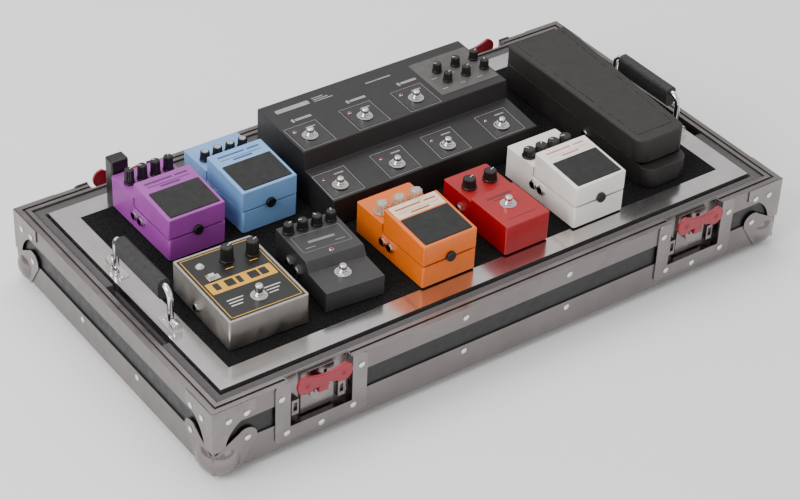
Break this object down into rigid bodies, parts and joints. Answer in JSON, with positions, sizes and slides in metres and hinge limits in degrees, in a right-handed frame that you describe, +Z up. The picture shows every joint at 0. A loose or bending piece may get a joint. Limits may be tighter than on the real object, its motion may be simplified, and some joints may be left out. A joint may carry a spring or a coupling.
{
  "type": "guitar pedalboard in flight case",
  "caption": "Guitar effects pedalboard: carpeted lift-out tray of foot pedals in the base half of an aluminium-edged flight case with butterfly latches.",
  "frame": {"origin": "centre of the case's footprint, on the surface that the ball corners stand on", "axes": "+X along the case's long side to the right, +Y to the rear, +Z up"},
  "size_m": [0.8112, 0.4448, 0.1795],
  "materials": {
    "ply_laminate": "black laminate on plywood",
    "case_aluminium": "satin extrusion",
    "plated_steel": "zinc-plated, satin",
    "chrome": "bright chrome",
    "latch_red": "red coating",
    "foam": "charcoal foam",
    "tray_wood": "black-stained plywood",
    "border_metal": "brushed, bright",
    "carpet": "black loop carpet",
    "handle_chrome": "chrome bar with a black rubber grip",
    "purple_paint": "satin",
    "blue_paint": "satin",
    "orange_paint": "satin",
    "white_paint": "satin",
    "echo_metal": "cast, bare",
    "grey_paint": "satin",
    "red_paint": "gloss",
    "charcoal_paint": "satin powder coat",
    "wah_paint": "matte powder coat",
    "black_plastic": "moulded",
    "clear_plastic": "translucent",
    "board": "green circuit board",
    "base_steel": "plain"
  },
  "bodies": {
    "case": {"case_panels": "ply_laminate", "rim_rails": "case_aluminium", "base_angles": "case_aluminium", "corner_braces": "plated_steel", "ball_corners": "plated_steel", "latch_dishes": "plated_steel", "case_rivets": "chrome", "foam_lining": "foam"},
    "tray": {"tray_board": "tray_wood", "tray_border": "border_metal", "loop_carpet": "carpet", "handle_brackets": "chrome", "power_adapter": "black_plastic", "jack_and_switch_nuts": "chrome", "thumb_screws": "black_plastic", "base_plates": "base_steel", "circuit_boards": "board", "black_knobs": "black_plastic", "blue_knobs": "black_plastic", "purple_housing": "purple_paint", "blue_housing": "blue_paint", "orange_housing": "orange_paint", "white_housing": "white_paint", "echo_housing": "echo_metal", "grey_housing": "grey_paint", "red_housing": "red_paint", "multi_housing": "charcoal_paint", "wah_housing": "wah_paint"},
    "latch_hub_front_left": {"latch_hub_front_left": "chrome"},
    "latch_wing_front_left": {"latch_wing_front_left": "latch_red"},
    "latch_hub_front_right": {"latch_hub_front_right": "chrome"},
    "latch_wing_front_right": {"latch_wing_front_right": "latch_red"},
    "latch_hub_rear_left": {"latch_hub_rear_left": "chrome"},
    "latch_wing_rear_left": {"latch_wing_rear_left": "latch_red"},
    "latch_hub_rear_right": {"latch_hub_rear_right": "chrome"},
    "latch_wing_rear_right": {"latch_wing_rear_right": "latch_red"},
    "handle_left": {"handle_left": "handle_chrome"},
    "handle_right": {"handle_right": "handle_chrome"},
    "purple_treadle": {"purple_treadle": "purple_paint"},
    "blue_treadle": {"blue_treadle": "blue_paint"},
    "orange_treadle": {"orange_treadle": "orange_paint"},
    "white_treadle": {"white_treadle": "white_paint"},
    "wah_treadle": {"wah_treadle": "wah_paint"},
    "echo_footswitch": {"echo_footswitch": "chrome"},
    "grey_footswitch": {"grey_footswitch": "chrome"},
    "red_footswitch": {"red_footswitch": "chrome"},
    "multi_footswitch_1": {"multi_footswitch_1": "chrome"},
    "multi_footswitch_2": {"multi_footswitch_2": "chrome"},
    "multi_footswitch_3": {"multi_footswitch_3": "chrome"},
    "multi_footswitch_4": {"multi_footswitch_4": "chrome"},
    "multi_footswitch_5": {"multi_footswitch_5": "chrome"},
    "multi_footswitch_6": {"multi_footswitch_6": "chrome"},
    "multi_footswitch_7": {"multi_footswitch_7": "chrome"},
    "echo_knob_1": {"echo_knob_1": "black_plastic"},
    "echo_knob_2": {"echo_knob_2": "black_plastic"},
    "red_knob_1": {"red_knob_1": "black_plastic"},
    "red_knob_2": {"red_knob_2": "black_plastic"},
    "orange_knob_1": {"orange_knob_1": "clear_plastic"},
    "orange_knob_2": {"orange_knob_2": "clear_plastic"},
    "orange_knob_3": {"orange_knob_3": "clear_plastic"}
  },
  "joints": [
    {"name": "tray_lift", "type": "slide", "parent": "case", "child": "tray", "axis": [0, 0, 1], "range_m": [0, 0.12]},
    {"name": "latch_turn_front_left", "type": "hinge", "parent": "case", "child": "latch_hub_front_left", "pos_m": [-0.26385, -0.2152, 0.068], "axis": [0, -1, 0], "range_deg": [0, 180]},
    {"name": "latch_flip_front_left", "type": "hinge", "parent": "latch_hub_front_left", "child": "latch_wing_front_left", "pos_m": [-0.26372, -0.2154, 0.071], "axis": [0.999, 0, -0.0436], "range_deg": [0, 90]},
    {"name": "latch_turn_front_right", "type": "hinge", "parent": "case", "child": "latch_hub_front_right", "pos_m": [0.26385, -0.2152, 0.068], "axis": [0, -1, 0], "range_deg": [0, 180]},
    {"name": "latch_flip_front_right", "type": "hinge", "parent": "latch_hub_front_right", "child": "latch_wing_front_right", "pos_m": [0.26401, -0.2154, 0.071], "axis": [0.9986, 0, -0.0523], "range_deg": [0, 90]},
    {"name": "latch_turn_rear_left", "type": "hinge", "parent": "case", "child": "latch_hub_rear_left", "pos_m": [-0.26385, 0.2152, 0.068], "axis": [0, 1, 0], "range_deg": [0, 180]},
    {"name": "latch_flip_rear_left", "type": "hinge", "parent": "latch_hub_rear_left", "child": "latch_wing_rear_left", "pos_m": [-0.26317, 0.2154, 0.07092], "axis": [-0.9744, 0, 0.225], "range_deg": [0, 90]},
    {"name": "latch_turn_rear_right", "type": "hinge", "parent": "case", "child": "latch_hub_rear_right", "pos_m": [0.26385, 0.2152, 0.068], "axis": [0, 1, 0], "range_deg": [0, 180]},
    {"name": "latch_flip_rear_right", "type": "hinge", "parent": "latch_hub_rear_right", "child": "latch_wing_rear_right", "pos_m": [0.26364, 0.2154, 0.07099], "axis": [-0.9976, 0, -0.0698], "range_deg": [0, 90]},
    {"name": "handle_fold_left", "type": "hinge", "parent": "tray", "child": "handle_left", "pos_m": [-0.35835, -0.0077, 0.1021], "axis": [0, -1, 0], "range_deg": [0, 80]},
    {"name": "handle_fold_right", "type": "hinge", "parent": "tray", "child": "handle_right", "pos_m": [0.35835, -0.0077, 0.1021], "axis": [0, 1, 0], "range_deg": [0, 80]},
    {"name": "purple_press", "type": "hinge", "parent": "tray", "child": "purple_treadle", "pos_m": [-0.26565, 0.1004, 0.1318], "axis": [1, 0, 0], "range_deg": [0, 1.7], "stiffness_Nm_per_rad": 14, "springref_deg": -2.01},
    {"name": "blue_press", "type": "hinge", "parent": "tray", "child": "blue_treadle", "pos_m": [-0.16905, 0.1016, 0.1318], "axis": [1, 0, 0], "range_deg": [0, 1.7], "stiffness_Nm_per_rad": 14, "springref_deg": -2.01},
    {"name": "orange_press", "type": "hinge", "parent": "tray", "child": "orange_treadle", "pos_m": [-0.05785, -0.0912, 0.1318], "axis": [1, 0, 0], "range_deg": [0, 1.7], "stiffness_Nm_per_rad": 14, "springref_deg": -2.01},
    {"name": "white_press", "type": "hinge", "parent": "tray", "child": "white_treadle", "pos_m": [0.15545, -0.0933, 0.1318], "axis": [1, 0, 0], "range_deg": [0, 1.7], "stiffness_Nm_per_rad": 14, "springref_deg": -2.01},
    {"name": "wah_rock", "type": "hinge", "parent": "tray", "child": "wah_treadle", "pos_m": [0.27815, -0.0102, 0.1358], "axis": [-1, 0, 0], "range_deg": [0, 10]},
    {"name": "echo_switch_press", "type": "slide", "parent": "tray", "child": "echo_footswitch", "axis": [0, 0, -1], "range_m": [0, 0.0025], "stiffness_N_per_m": 1200, "springref_m": -0.003},
    {"name": "grey_switch_press", "type": "slide", "parent": "tray", "child": "grey_footswitch", "axis": [0, 0, -1], "range_m": [0, 0.0025], "stiffness_N_per_m": 1200, "springref_m": -0.003},
    {"name": "red_switch_press", "type": "slide", "parent": "tray", "child": "red_footswitch", "axis": [0, 0, -1], "range_m": [0, 0.0025], "stiffness_N_per_m": 1200, "springref_m": -0.003},
    {"name": "multi_switch_press_1", "type": "slide", "parent": "tray", "child": "multi_footswitch_1", "axis": [0, 0, -1], "range_m": [0, 0.0025], "stiffness_N_per_m": 1200, "springref_m": -0.003},
    {"name": "multi_switch_press_2", "type": "slide", "parent": "tray", "child": "multi_footswitch_2", "axis": [0, 0, -1], "range_m": [0, 0.0025], "stiffness_N_per_m": 1200, "springref_m": -0.003},
    {"name": "multi_switch_press_3", "type": "slide", "parent": "tray", "child": "multi_footswitch_3", "axis": [0, 0, -1], "range_m": [0, 0.0025], "stiffness_N_per_m": 1200, "springref_m": -0.003},
    {"name": "multi_switch_press_4", "type": "slide", "parent": "tray", "child": "multi_footswitch_4", "axis": [0, 0, -1], "range_m": [0, 0.0025], "stiffness_N_per_m": 1200, "springref_m": -0.003},
    {"name": "multi_switch_press_5", "type": "slide", "parent": "tray", "child": "multi_footswitch_5", "axis": [0, 0, -1], "range_m": [0, 0.0025], "stiffness_N_per_m": 1200, "springref_m": -0.003},
    {"name": "multi_switch_press_6", "type": "slide", "parent": "tray", "child": "multi_footswitch_6", "axis": [0, 0, -1], "range_m": [0, 0.0025], "stiffness_N_per_m": 1200, "springref_m": -0.003},
    {"name": "multi_switch_press_7", "type": "slide", "parent": "tray", "child": "multi_footswitch_7", "axis": [0, 0, -1], "range_m": [0, 0.0025], "stiffness_N_per_m": 1200, "springref_m": -0.003},
    {"name": "echo_knob_turn_1", "type": "hinge", "parent": "tray", "child": "echo_knob_1", "pos_m": [-0.27366, -0.04391, 0.1358], "axis": [0, 0, 1], "range_deg": [-150, 150]},
    {"name": "echo_knob_turn_2", "type": "hinge", "parent": "tray", "child": "echo_knob_2", "pos_m": [-0.24382, -0.04895, 0.1358], "axis": [0, 0, 1], "range_deg": [-150, 150]},
    {"name": "red_knob_turn_1", "type": "hinge", "parent": "tray", "child": "red_knob_1", "pos_m": [0.03665, -0.0702, 0.1318], "axis": [0, 0, 1], "range_deg": [-150, 150]},
    {"name": "red_knob_turn_2", "type": "hinge", "parent": "tray", "child": "red_knob_2", "pos_m": [0.06665, -0.0702, 0.1318], "axis": [0, 0, 1], "range_deg": [-150, 150]},
    {"name": "orange_knob_turn_1", "type": "hinge", "parent": "tray", "child": "orange_knob_1", "pos_m": [-0.08135, -0.0632, 0.1378], "axis": [0, 0, 1], "range_deg": [-150, 150]},
    {"name": "orange_knob_turn_2", "type": "hinge", "parent": "tray", "child": "orange_knob_2", "pos_m": [-0.05785, -0.0632, 0.1378], "axis": [0, 0, 1], "range_deg": [-150, 150]},
    {"name": "orange_knob_turn_3", "type": "hinge", "parent": "tray", "child": "orange_knob_3", "pos_m": [-0.03435, -0.0632, 0.1378], "axis": [0, 0, 1], "range_deg": [-150, 150]}
  ]
}
